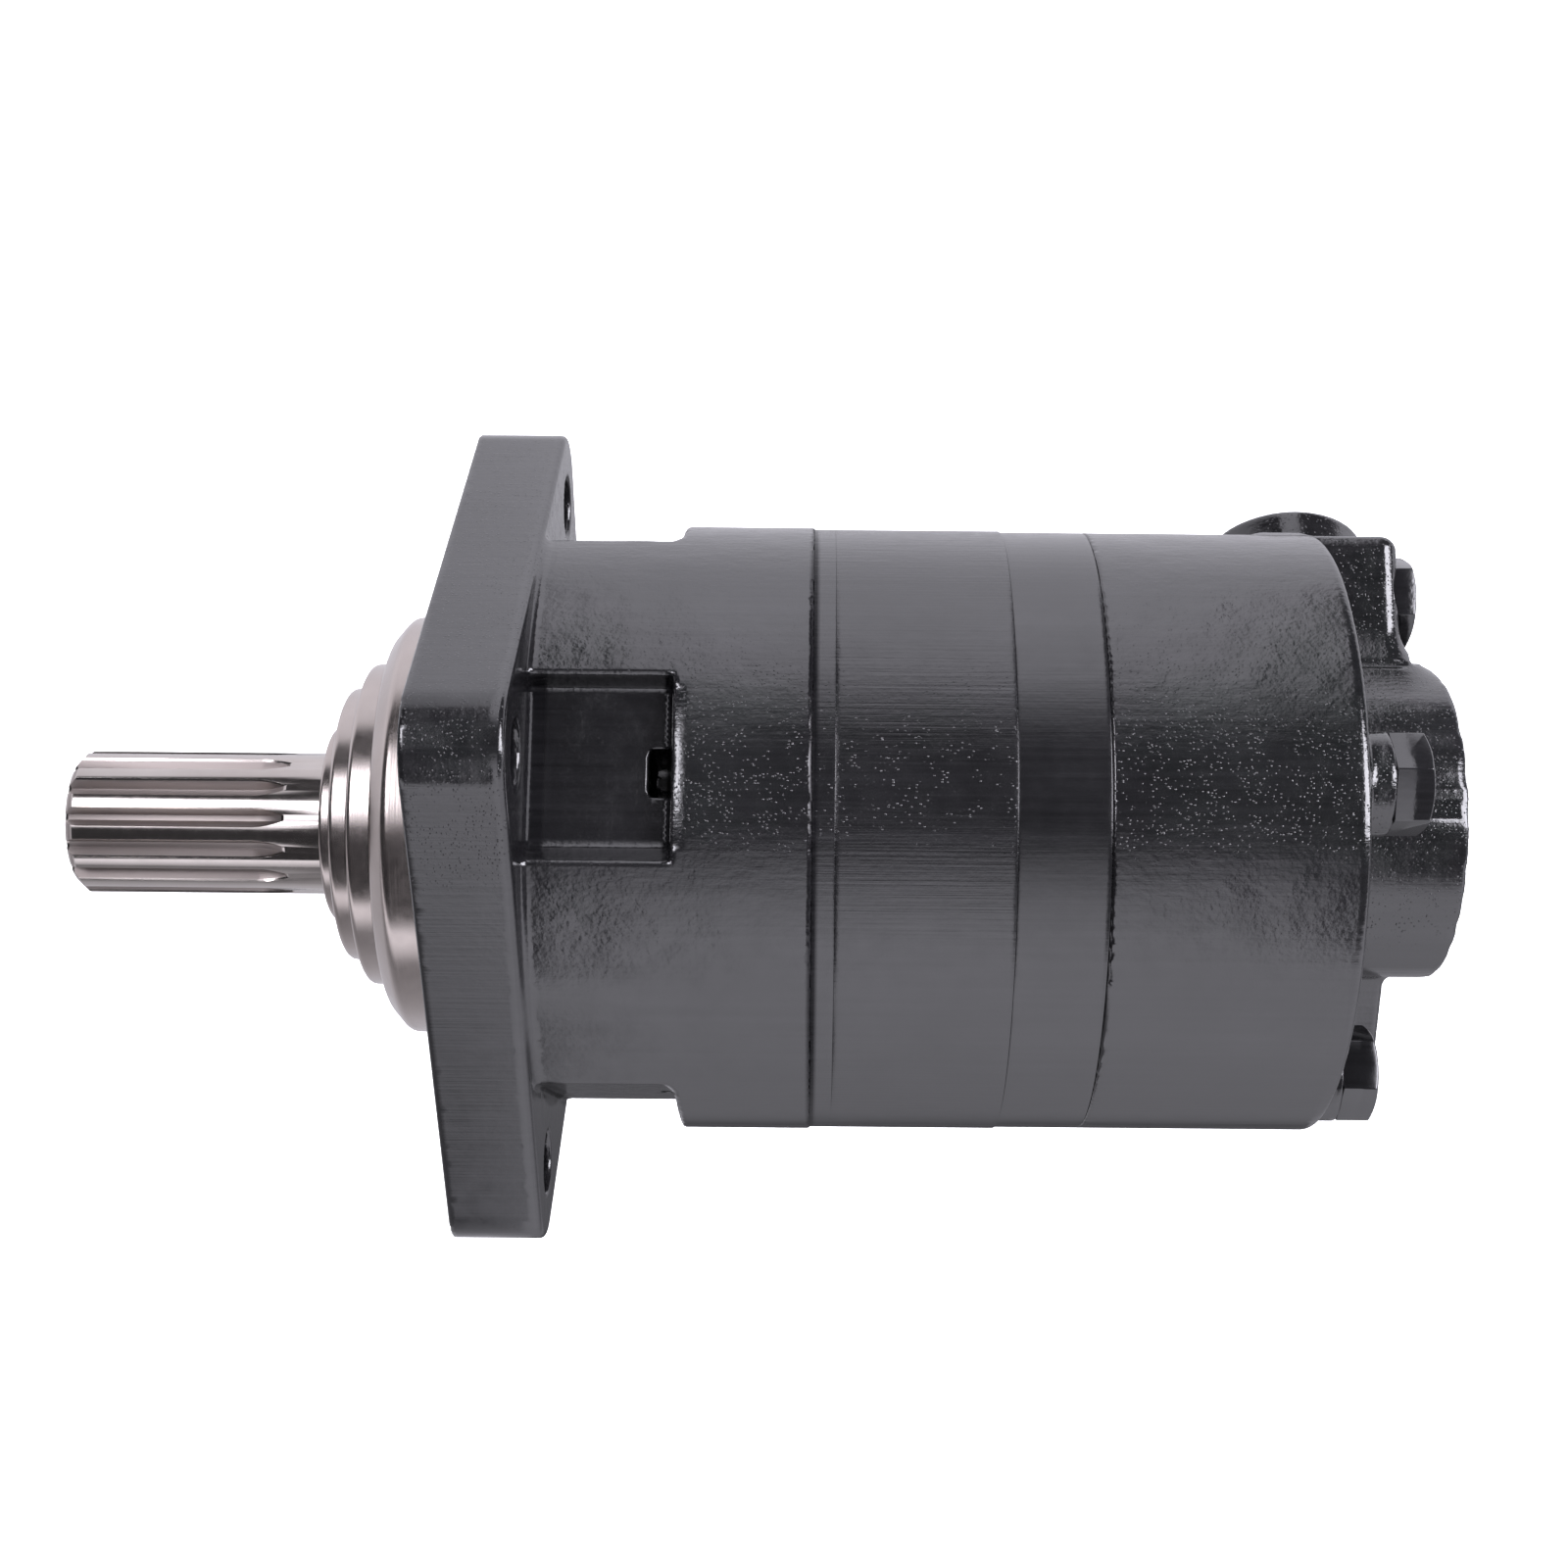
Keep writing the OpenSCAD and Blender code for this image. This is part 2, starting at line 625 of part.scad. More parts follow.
// Hex-head bolt along X, from the head's seat to its threaded end.
module case_bolt(seat) {
    rod(bolt_d / 2, bolt_end_x + 1, seat);
    turned([[0, bolt_end_x], [bolt_d / 2 - 1, bolt_end_x], [bolt_d / 2, bolt_end_x + 1],
        [0, bolt_end_x + 1]]);
    intersection() {
        along_x(seat, seat + bolt_head_t) circle(r = bolt_af / 2 / cos(30), $fn = 6);
        turned([[0, seat], [bolt_af * 0.6, seat], [bolt_af * 0.6, seat + bolt_head_t - 1],
            [bolt_af * 0.46, seat + bolt_head_t], [0, seat + bolt_head_t]]);
    }
}

module case_bolts() {
    color([0.06, 0.06, 0.065]) {
        for (a = [135, 225]) around(bolt_r, a) rotate([bolt_turn, 0, 0]) case_bolt(seat_x);
        for (a = [45, 315]) around(bolt_r, a) case_bolt(arm_seat_x);
    }
}

bearing_housing();
pilot_nose();
dust_seal();
shaft_seal();
seal_washer();
front_bearing_cup();
rear_bearing_cup();
wear_plate();
gerotor_ring();
gerotor_rollers();
valve_plate();
valve_housing();
balance_ring();
balance_springs();
balance_pins();
body_seals();
case_bolts();
drain_plug();
drain_seal();
output_shaft();
front_bearing_cone();
rear_bearing_cone();
bearing_spacer();
bearing_nut();
front_bearing_rollers();
front_bearing_cage();
rear_bearing_rollers();
rear_bearing_cage();
drive_spacer();
gerotor_rotor();
main_drive_link();
valve_drive_link();
disc_valve();
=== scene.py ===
import json
import math

import bmesh
import bpy
import numpy as np
from mathutils import Matrix, Vector


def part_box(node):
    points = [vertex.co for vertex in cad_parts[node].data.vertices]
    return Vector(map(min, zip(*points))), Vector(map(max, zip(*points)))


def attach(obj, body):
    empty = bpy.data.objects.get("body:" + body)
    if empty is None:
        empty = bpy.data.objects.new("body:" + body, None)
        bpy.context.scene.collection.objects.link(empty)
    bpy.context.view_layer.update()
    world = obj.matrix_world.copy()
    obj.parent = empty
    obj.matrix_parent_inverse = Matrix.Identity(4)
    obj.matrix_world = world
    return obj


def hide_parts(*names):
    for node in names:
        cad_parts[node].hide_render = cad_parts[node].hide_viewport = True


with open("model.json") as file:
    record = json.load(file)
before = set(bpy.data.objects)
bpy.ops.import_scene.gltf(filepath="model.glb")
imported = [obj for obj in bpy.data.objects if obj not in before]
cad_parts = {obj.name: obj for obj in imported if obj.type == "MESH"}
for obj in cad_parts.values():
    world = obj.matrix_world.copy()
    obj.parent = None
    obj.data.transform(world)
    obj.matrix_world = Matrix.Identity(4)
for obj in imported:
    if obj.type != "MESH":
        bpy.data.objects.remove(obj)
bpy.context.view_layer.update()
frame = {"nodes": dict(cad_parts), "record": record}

# Shapes are worked out in millimetres in the part's own frame and stored in metres.
# X runs along the shaft. An angle around the shaft is counted from +Y towards +Z, in degrees.
MM = 0.001


def box_mm(node):
    """Lowest and highest corner of a CAD node, in millimetres."""
    low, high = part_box(node)
    return np.array(low) / MM, np.array(high) / MM


# ---------------------------------------------------------------- sizes

housing_low, housing_high = box_mm("bearing_housing")
housing_end = housing_high[0]
wear_low, wear_high = box_mm("wear_plate")
ring_low, ring_high = box_mm("gerotor_ring")
plate_low, plate_high = box_mm("valve_plate")
valve_low, valve_high = box_mm("valve_housing")
valve_radius = plate_high[2]
ring_radius = ring_high[2]
nose_low, nose_high = box_mm("pilot_nose")
shaft_low, shaft_high = box_mm("output_shaft")

FLANGE_HALF = 67.65
FLANGE_T = 19.6
FLANGE_CORNER = 13.5
FLANGE_HOLE_R = 6.8
FLANGE_BOLT_R = 73.8
BARREL_R = 66.0
MOUNT_ANGLES = (45, 135, 225, 315)
CASE_BOLT_R = 53.0
CASE_BOLT_HOLE = 6.6
CASE_BOLT_THREAD_HOLE = 6.37
THREAD_HOLE_START = 43.8
POCKET_REAR = 47.9
POCKET_DRAFT = 0.12
BEARING_BORE_R = 40.02

BOSS_R = 34.0
BOSS_Y = 3.5
RIM_X = 184.4
END_START = RIM_X - 12
ARM_X = 205.5
ARM_HALF = 12.3
ARM_REACH = 65.4
ARM_ANGLES = (45, 315)
ARM_SEAT_X = 202.1
ARM_SEAT_R = 11.4
SEAT_X = 189.8
SEAT_R = 10.5
SEAT_ANGLES = (135, 225)
PORT_X = 187.0
PORT_ANGLE = 27
PORT_FACE = 74.9
PORT_BOSS_R = 18.4
PORT_R = 12.4
PORT_DEPTH = 16.5
PORT_PASSAGE_R = 7.2
DRAIN_X = plate_high[0] + 15

ROLLERS = 7
ROLLER_R = 7.53
ROLLER_PITCH_R = 34.5
RING_INNER_R = 33.9
PASSAGE_R = 3.2
PASSAGE_PITCH_R = 30

VOXEL = 0.8
FACES_KEPT = 190000


# ---------------------------------------------------------------- noise

def lattice(ix, iy, iz, seed):
    """A repeatable random number from -1 to 1 for each whole-number point."""
    h = (ix * 73856093) ^ (iy * 19349663) ^ (iz * 83492791) ^ (seed * 2654435761)
    h = (h ^ (h >> 13)) & 0x7FFFFFFF
    h = (h * 1274126177) & 0x7FFFFFFF
    h = (h ^ (h >> 16)) & 0xFFFFFF
    return h / float(0x7FFFFF) - 1.0


def noise(p, size, seed):
    """Smooth noise from -1 to 1, with features about size millimetres across."""
    q = p / size
    cell = np.floor(q).astype(np.int64)
    f = q - cell
    f = f * f * (3 - 2 * f)
    total = 0.0
    for dx in (0, 1):
        wx = f[:, 0] if dx else 1 - f[:, 0]
        for dy in (0, 1):
            wy = f[:, 1] if dy else 1 - f[:, 1]
            for dz in (0, 1):
                wz = f[:, 2] if dz else 1 - f[:, 2]
                corner = lattice(cell[:, 0] + dx, cell[:, 1] + dy, cell[:, 2] + dz, seed)
                total = total + wx * wy * wz * corner
    return total


# ---------------------------------------------------------------- distance shapes
# Each shape gives the distance from points to its surface, less than zero inside.

def slab(x, x0, x1):
    return np.maximum(x0 - x, x - x1)


def rod(p, r, cy=0.0, cz=0.0):
    return np.hypot(p[:, 1] - cy, p[:, 2] - cz) - r


def rod_at(p, r, radius, angle):
    a = math.radians(angle)
    return rod(p, r, radius * math.cos(a), radius * math.sin(a))


def radial(p, angle):
    """Distance outwards along an angle, and sideways from it."""
    c, s = math.cos(math.radians(angle)), math.sin(math.radians(angle))
    return p[:, 1] * c + p[:, 2] * s, p[:, 2] * c - p[:, 1] * s


def both(a, b, r=0.0):
    """What is in a and in b, with its edge rounded to radius r."""
    if np.isscalar(r) and r == 0:
        return np.maximum(a, b)
    return np.minimum(-r, np.maximum(a, b)) + np.hypot(np.maximum(r + a, 0), np.maximum(r + b, 0))


def either(a, b, r=0.0):
    """What is in a or in b, with a fillet of radius r where they meet."""
    return -both(-a, -b, r)


def cut(a, b, r=0.0):
    """a without b, with the cut's edge rounded to radius r."""
    return both(a, -b, r)


def rounded_square(p, half, r):
    qy = np.abs(p[:, 1]) - half + r
    qz = np.abs(p[:, 2]) - half + r
    outside = np.hypot(np.maximum(qy, 0), np.maximum(qz, 0))
    return outside + np.minimum(np.maximum(qy, qz), 0) - r


def housing_shape(p):
    x = p[:, 0]
    barrel = both(rod(p, BARREL_R), slab(x, FLANGE_T - 8, housing_end), 0.1)
    for angle in (135, 315):
        out, side = radial(p, angle)
        rise = out - 57.5
        walls = np.maximum((side - 14.7 - 0.72 * rise) * 0.81, (-side - 17.0 - 0.32 * rise) * 0.95)
        rear = x - POCKET_REAR - POCKET_DRAFT * rise
        pocket = both(both(-rise, walls, 1.0), both(rear, 5 - x), 0.5)
        droop = both(0.985 * (57.0 + 0.1763 * x - np.hypot(p[:, 1], p[:, 2])), np.abs(side) - 17, 1.5)
        barrel = cut(cut(barrel, both(droop, 44 - x)), pocket, 0.3)
    for angle, floor in ((50.5, 57.3), (225.8, 58.6)):
        out, side = radial(p, angle)
        rear = x - POCKET_REAR - POCKET_DRAFT * (out - floor)
        pocket = both(floor - out, both(rear, 5 - x), 2.2)
        barrel = cut(barrel, pocket, 0.3)
    outline = rounded_square(p, FLANGE_HALF, FLANGE_CORNER)
    flange = both(both(outline, -x, 0.4), x - FLANGE_T, 1.3)
    fillet = np.clip(rod(p, 61.0) / 2.5, 0.05, 1.0) * 1.5
    shape = either(flange, barrel, fillet)
    for angle in MOUNT_ANGLES:
        shape = cut(shape, rod_at(p, FLANGE_HOLE_R, FLANGE_BOLT_R, angle), 0.5)
        thread_hole = rod_at(p, CASE_BOLT_THREAD_HOLE, CASE_BOLT_R, angle)
        shape = cut(shape, both(thread_hole, THREAD_HOLE_START - x), 0.2)
    bore = np.minimum(both(rod(p, nose_high[2] + 0.02), x - 3), both(rod(p, 42), x - 8))
    bore = np.minimum(bore, both(rod(p, BEARING_BORE_R), slab(x, 7, 28)))
    bore = np.minimum(bore, both(rod(p, 35), slab(x, 8, 47)))
    bore = np.minimum(bore, both(rod(p, BEARING_BORE_R), 46 - x))
    return cut(shape, bore, 0.4)


def valve_housing_shape(p):
    x = p[:, 0]
    front = plate_high[0]
    drum = both(rod(p, valve_radius), x - RIM_X, 1.5)
    drum = both(drum, front - x, 0.1)
    end = both(rod(p, BOSS_R, BOSS_Y), slab(x, END_START, valve_high[0] - 0.2), 1.2)
    for angle in ARM_ANGLES:
        out, side = radial(p, angle)
        arm = both(np.abs(side) - ARM_HALF, slab(out, 15, ARM_REACH), 3.0)
        end = either(end, both(arm, slab(x, END_START, ARM_X), 3.6), 10.0)
    out, side = radial(p, 258)
    rib = both(np.abs(side) - 8, slab(out, 15, 63), 2.5)
    end = either(end, both(rib, slab(x, END_START, ARM_X - 0.9), 2.0), 2.5)
    shape = either(drum, end, 3.5)
    for angle in SEAT_ANGLES:
        seat = both(rod_at(p, SEAT_R, CASE_BOLT_R, angle), slab(x, END_START, SEAT_X), 0.6)
        shape = either(shape, seat, 1.2)
    for angle in (-PORT_ANGLE, PORT_ANGLE):
        out, side = radial(p, angle)
        around = np.hypot(x - PORT_X, side)
        shape = either(shape, both(around - PORT_BOSS_R, slab(out, 30, PORT_FACE), 1.6), 3.0)
    for angle in ARM_ANGLES:
        spot = both(rod_at(p, ARM_SEAT_R, CASE_BOLT_R, angle), ARM_SEAT_X - x)
        shape = cut(shape, spot, 0.3)
    for angle in (-PORT_ANGLE, PORT_ANGLE):
        out, side = radial(p, angle)
        around = np.hypot(x - PORT_X, side)
        bottom = PORT_FACE - PORT_DEPTH - out
        thread = both(around - PORT_R, bottom)
        mouth = around - PORT_R - np.maximum(out - PORT_FACE + 1.6, 0) * 1.2
        inner = both(around - PORT_PASSAGE_R, (42 if angle > 0 else 14) - out)
        shape = cut(shape, np.minimum(both(np.minimum(mouth, thread), bottom), inner), 0.3)
    for angle in MOUNT_ANGLES:
        shape = cut(shape, rod_at(p, CASE_BOLT_HOLE, CASE_BOLT_R, angle), 0.3)
    bore = np.minimum(both(rod(p, 42.4), x - front - 22), both(rod(p, 31.2), x - front - 33.6))
    bore = np.minimum(bore, both(rod(p, 18), x - front - 50.4))
    shape = cut(shape, bore, 0.4)
    drain = np.hypot(x - DRAIN_X, p[:, 2])
    drain = np.minimum(both(drain - 5.2, -p[:, 1]), both(drain - 10.6, valve_radius - 2.6 - p[:, 1]))
    return cut(shape, drain, 0.3)


# ---------------------------------------------------------------- meshes

def new_object(name, mesh):
    ob = bpy.data.objects.new(name, mesh)
    bpy.context.scene.collection.objects.link(ob)
    return ob


def applied(ob):
    """ob with its modifiers applied."""
    dg = bpy.context.evaluated_depsgraph_get()
    mesh = bpy.data.meshes.new_from_object(ob.evaluated_get(dg), depsgraph=dg)
    ob.modifiers.clear()
    old = ob.data
    ob.data = mesh
    bpy.data.meshes.remove(old)
    return ob


def vertices_mm(ob):
    co = np.empty(len(ob.data.vertices) * 3)
    ob.data.vertices.foreach_get("co", co)
    return co.reshape(-1, 3) / MM


def set_vertices_mm(ob, p):
    ob.data.vertices.foreach_set("co", (p * MM).ravel())
    ob.data.update()


def slope(shape, p, step=0.02):
    """Unit vectors away from a distance shape's surface, and the slope's size."""
    g = np.empty_like(p)
    for axis in range(3):
        d = np.zeros(3)
        d[axis] = step
        g[:, axis] = (shape(p + d) - shape(p - d)) / (2 * step)
    size = np.maximum(np.linalg.norm(g, axis=1), 1e-3)
    return g / size[:, None], size


def surface(name, node, shape, relief):
    """The surface of a distance shape, meshed from a CAD node's own solid, with a relief."""
    ob = new_object(name, frame["nodes"][node].data.copy())
    ob.data.materials.clear()
    weld = ob.modifiers.new("weld", "WELD")
    weld.merge_threshold = 1e-5
    remesh = ob.modifiers.new("remesh", "REMESH")
    remesh.mode = "VOXEL"
    remesh.voxel_size = VOXEL * MM
    applied(ob)
    p = vertices_mm(ob)
    for _ in range(4):
        n, size = slope(shape, p)
        p = p - n * np.clip(shape(p) / size, -0.6, 0.6)[:, None]
    n, size = slope(shape, p)
    set_vertices_mm(ob, p + n * relief(p, n)[:, None])
    triangles = len(ob.data.polygons) * 2
    if triangles > FACES_KEPT:
        thin = ob.modifiers.new("thin", "DECIMATE")
        thin.ratio = FACES_KEPT / triangles
        applied(ob)
    ob.data.shade_smooth()
    return ob


def cast_relief(p, n):
    """Cast skin on outside walls, and flat machined faces and bores left smooth."""
    r = np.hypot(p[:, 1], p[:, 2])
    outward = (n[:, 1] * p[:, 1] + n[:, 2] * p[:, 2]) / np.maximum(r, 1)
    skin = np.clip((r - 44) / 4, 0, 1) * np.clip(outward + 0.75, 0, 1)
    calm = np.clip(p[:, 2] / 30, 0.25, 1) * np.where(p[:, 0] < 48, np.clip((r - 61) / 3, 0.2, 1), 1)
    skin = skin * calm * np.clip((p[:, 0] - 15) / 8, 0.15, 1)
    chips = np.clip((p[:, 0] - 211.2) / 1.2, 0, 1) * np.clip((r - 28) / 3, 0, 1)
    chips = chips * 0.5 * np.minimum(noise(p, 3.4, 8) - 0.1, 0)
    return skin * (0.05 * noise(p, 6.5, 3) + 0.025 * noise(p, 2.6, 4)) + chips


def smoothed_edges(ob, width, segments=2, angle=30):
    bevel = ob.modifiers.new("edges", "BEVEL")
    bevel.width = width * MM
    bevel.segments = segments
    bevel.limit_method = "ANGLE"
    bevel.angle_limit = math.radians(angle)
    bevel.harden_normals = False
    return applied(ob)


def softened(name, node, width, segments=2, sharp=40):
    """A CAD node's solid with flat faces joined up and its edges rounded."""
    ob = new_object(name, frame["nodes"][node].data.copy())
    ob.data.materials.clear()
    bm = bmesh.new()
    bm.from_mesh(ob.data)
    bmesh.ops.remove_doubles(bm, verts=bm.verts, dist=1e-6)
    bmesh.ops.dissolve_limit(bm, angle_limit=math.radians(0.5), verts=bm.verts, edges=bm.edges)
    bm.to_mesh(ob.data)
    bm.free()
    smoothed_edges(ob, width, segments)
    ob.data.shade_smooth()
    ob.data.set_sharp_from_angle(angle=math.radians(sharp))
    return ob


def circle(r, count, cy=0.0, cz=0.0):
    a = np.arange(count) * 2 * math.pi / count
    return np.stack([cy + r * np.cos(a), cz + r * np.sin(a)], axis=1)


def plate(name, outlines, x0, x1, edge, rows):
    """A flat plate across X, with holes, rounded edges and a fine grid on its outer wall."""
    curve = bpy.data.curves.new(name + "_outline", "CURVE")
    curve.dimensions = "2D"
    curve.fill_mode = "BOTH"
    curve.extrude = ((x1 - x0) / 2 - edge) * MM
    curve.bevel_depth = edge * MM
    curve.bevel_resolution = 2
    curve.offset = -edge * MM
    for outline in outlines:
        spline = curve.splines.new("POLY")
        spline.points.add(len(outline) - 1)
        flat = np.concatenate([outline * MM, np.zeros((len(outline), 1)), np.ones((len(outline), 1))], axis=1)
        spline.points.foreach_set("co", flat.ravel())
        spline.use_cyclic_u = True
    drawn = new_object(name + "_outline", curve)
    dg = bpy.context.evaluated_depsgraph_get()
    mesh = bpy.data.meshes.new_from_object(drawn.evaluated_get(dg), depsgraph=dg)
    bpy.data.objects.remove(drawn)
    turn = Matrix(((0, 0, 1, (x0 + x1) / 2 * MM), (1, 0, 0, 0), (0, 1, 0, 0), (0, 0, 0, 1)))
    mesh.transform(turn)
    bm = bmesh.new()
    bm.from_mesh(mesh)
    bmesh.ops.remove_doubles(bm, verts=bm.verts, dist=1e-7)
    outer = max(np.hypot(o[:, 0], o[:, 1]).max() for o in outlines) * MM
    long_edges = [e for e in bm.edges
                  if abs(e.verts[0].co.x - e.verts[1].co.x) > (x1 - x0 - 2 * edge) * MM * 0.9
                  and e.verts[0].co.yz.length > outer - 0.05 * MM]
    if rows:
        bmesh.ops.subdivide_edges(bm, edges=long_edges, cuts=rows, use_grid_fill=True)
    bmesh.ops.recalc_face_normals(bm, faces=bm.faces)
    bm.to_mesh(mesh)
    bm.free()
    ob = new_object(name, mesh)
    mesh.shade_smooth()
    mesh.set_sharp_from_angle(angle=math.radians(35))
    return ob


def bolt_outlines(r):
    a = [math.radians(x) for x in MOUNT_ANGLES]
    return [circle(r, 48, CASE_BOLT_R * math.cos(x), CASE_BOLT_R * math.sin(x)) for x in a]


def gerotor_outline(pitch, roller, inner, rollers, count=560):
    """The bore of the gerotor ring: a circle that opens into a round seat for each roller."""
    a = np.arange(count) * 2 * math.pi / count
    step = 2 * math.pi / rollers
    off = (a + step / 2) % step - step / 2
    reach = roller ** 2 - (pitch * np.sin(off)) ** 2
    seat = pitch * np.cos(off) + np.sqrt(np.maximum(reach, 0))
    r = np.where(reach > 0, np.maximum(seat, inner), inner)
    return np.stack([r * np.cos(a), r * np.sin(a)], axis=1)


def rounded_profile(points, radius, steps=4):
    """A profile of [x, r] points with each inside corner of the list rounded."""
    out = [np.array(points[0], float)]
    for before, here, after in zip(points, points[1:], points[2:]):
        before, here, after = (np.array(v, float) for v in (before, here, after))
        a, b = before - here, after - here
        reach = min(radius, 0.45 * np.linalg.norm(a), 0.45 * np.linalg.norm(b))
        start = here + a / np.linalg.norm(a) * reach
        end = here + b / np.linalg.norm(b) * reach
        for t in np.linspace(0, 1, steps + 1):
            out.append((1 - t) ** 2 * start + 2 * t * (1 - t) * here + t * t * end)
    out.append(np.array(points[-1], float))
    return out


def lathe(name, profile, count):
    """A closed ring turned about the shaft axis from a closed [x, r] profile."""
    pts = np.array(profile)
    a = np.arange(count) * 2 * math.pi / count
    rows = len(pts)
    co = np.empty((rows, count, 3))
    co[:, :, 0] = pts[:, None, 0]
    co[:, :, 1] = pts[:, None, 1] * np.cos(a)
    co[:, :, 2] = pts[:, None, 1] * np.sin(a)
    faces = []
    for i in range(rows):
        j = (i + 1) % rows
        for k in range(count):
            m = (k + 1) % count
            faces.append((i * count + k, i * count + m, j * count + m, j * count + k))
    mesh = bpy.data.meshes.new(name)
    mesh.from_pydata((co.reshape(-1, 3) * MM).tolist(), [], faces)
    bm = bmesh.new()
    bm.from_mesh(mesh)
    bmesh.ops.recalc_face_normals(bm, faces=bm.faces)
    bm.to_mesh(mesh)
    bm.free()
    mesh.shade_smooth()
    mesh.set_sharp_from_angle(angle=math.radians(35))
    return new_object(name, mesh)


# ---------------------------------------------------------------- materials

class Nodes:
    """The node tree of a material or a world, with short calls for the nodes used here."""

    def __init__(self, owner):
        owner.use_nodes = True
        self.owner = owner
        self.tree = owner.node_tree
        self.shader = self.tree.nodes.get("Principled BSDF")
        self.coords = self.tree.nodes.new("ShaderNodeTexCoord")
        self.place = self.coords.outputs["Object"]

    def add(self, kind, **settings):
        node = self.tree.nodes.new(kind)
        for key, value in settings.items():
            setattr(node, key, value)
        return node

    def link(self, source, target):
        self.tree.links.new(source, target)

    def math(self, operation, a, b=None):
        node = self.add("ShaderNodeMath", operation=operation)
        for socket, value in zip(node.inputs, (a, b)):
            if value is None:
                continue
            if isinstance(value, (int, float)):
                socket.default_value = value
            else:
                self.link(value, socket)
        return node.outputs[0]

    def stretched(self, scale):
        """Place in millimetres, scaled by axis."""
        node = self.add("ShaderNodeMapping")
        node.inputs["Scale"].default_value = [s / MM for s in scale]
        self.link(self.place, node.inputs["Vector"])
        return node.outputs[0]

    def height(self):
        split = self.add("ShaderNodeSeparateXYZ")
        self.link(self.place, split.inputs[0])
        return split.outputs[2]

    def inside(self, value, low_mm, high_mm):
        """One between two distances and zero outside them, with soft ends."""
        start = self.between(value, 0, 1, (low_mm - 0.4) * MM, (low_mm + 0.4) * MM)
        end = self.between(value, 1, 0, (high_mm - 0.4) * MM, (high_mm + 0.4) * MM)
        return self.math("MULTIPLY", start, end)

    def noise(self, scale, detail=3.0, rough=0.5):
        """Noise from 0 to 1 with scale features per millimetre on each axis."""
        node = self.add("ShaderNodeTexNoise")
        node.inputs["Scale"].default_value = 1.0
        node.inputs["Detail"].default_value = detail
        node.inputs["Roughness"].default_value = rough
        self.link(self.stretched(scale), node.inputs["Vector"])
        return node.outputs["Fac"]

    def x_and_radius(self):
        """Place along the shaft axis and distance from it."""
        split = self.add("ShaderNodeSeparateXYZ")
        self.link(self.place, split.inputs[0])
        y2 = self.math("MULTIPLY", split.outputs[1], split.outputs[1])
        z2 = self.math("MULTIPLY", split.outputs[2], split.outputs[2])
        return split.outputs[0], self.math("SQRT", self.math("ADD", y2, z2))

    def around(self):
        """Place as (x, radius, 0), for marks that run round the shaft axis."""
        joined = self.add("ShaderNodeCombineXYZ")
        for socket, value in zip(joined.inputs, self.x_and_radius()):
            self.link(value, socket)
        return joined.outputs[0]

    def between(self, value, low, high, from_low=0.0, from_high=1.0, kind="LINEAR"):
        node = self.add("ShaderNodeMapRange", interpolation_type=kind)
        node.inputs["From Min"].default_value = from_low
        node.inputs["From Max"].default_value = from_high
        node.inputs["To Min"].default_value = low
        node.inputs["To Max"].default_value = high
        self.link(value, node.inputs["Value"])
        return node.outputs["Result"]

    def blend(self, factor, dark, light):
        node = self.add("ShaderNodeMix", data_type="RGBA")
        for socket, value in ((node.inputs["A"], dark), (node.inputs["B"], light)):
            if isinstance(value, tuple):
                socket.default_value = (*value, 1)
            else:
                self.link(value, socket)
        self.link(factor, node.inputs["Factor"])
        return node.outputs["Result"]

    def bump(self, height, depth_mm, strength=1.0, onto=None):
        node = self.add("ShaderNodeBump")
        node.inputs["Distance"].default_value = depth_mm * MM
        node.inputs["Strength"].default_value = strength
        self.link(height, node.inputs["Height"])
        if onto is not None:
            self.link(onto, node.inputs["Normal"])
        return node.outputs["Normal"]

    def set(self, **sockets):
        for name, value in sockets.items():
            socket = self.shader.inputs[name.replace("_", " ")]
            if isinstance(value, (int, float, tuple)):
                socket.default_value = value
            else:
                self.link(value, socket)


def black_paint(name, peel, grain, streak, rough, specks):
    """Glossy black paint over metal: orange peel, grain, streaks along X and fine specks."""
    m = Nodes(bpy.data.materials.new(name))
    cloud = m.math("MULTIPLY", m.noise((0.03, 0.03, 0.03), 4), m.noise((0.015, 0.9, 0.9), 4, 0.65))
    cloud = m.between(cloud, 0, 1, 0.1, 0.4)
    m.set(Base_Color=m.blend(cloud, (0.003, 0.003, 0.0035), (0.012, 0.0118, 0.013)))
    rougher = m.between(m.noise((0.25, 0.25, 0.25), 4), rough - 0.03, rough + 0.05, 0.3, 0.7)
    x, radius = m.x_and_radius()
    lower_calm = m.between(m.height(), 0.3, 1, 0, 30 * MM)
    calm = m.math("MULTIPLY", lower_calm, m.between(x, 0.35, 1, 17 * MM, 23 * MM))
    skin = m.bump(m.math("MULTIPLY", calm, m.noise((0.85, 0.85, 0.85), 2, 0.5)), peel)
    skin = m.bump(m.math("MULTIPLY", calm, m.noise((0.16, 0.6, 0.6), 4, 0.6)), grain, 1.0, skin)
    skin = m.bump(m.noise((0.02, 1.6, 1.6), 3, 0.6), streak, 1.0, skin)
    if specks:
        skin = m.bump(settled_specks(m, x, radius), specks, 1.0, skin)
        # Painted shade: specular is turned down at the pocket corners and at the housing's rear seam, so
        # these creases and the joint read dark instead of catching light.
        ends = m.math("MAXIMUM", m.inside(x, 19.0, 23.2), m.inside(x, 46.6, 48.4))
        corner = m.math("MULTIPLY", ends, m.between(radius, 1, 0, 61.5 * MM, 62.5 * MM))
        painted_shade_mask = m.math("MAXIMUM", corner, m.inside(x, 75.3, 77))
        m.set(Specular_IOR_Level=m.between(painted_shade_mask, 0.5, 0.06))
    m.set(Normal=skin, Roughness=rougher, IOR=1.6)
    return m.owner


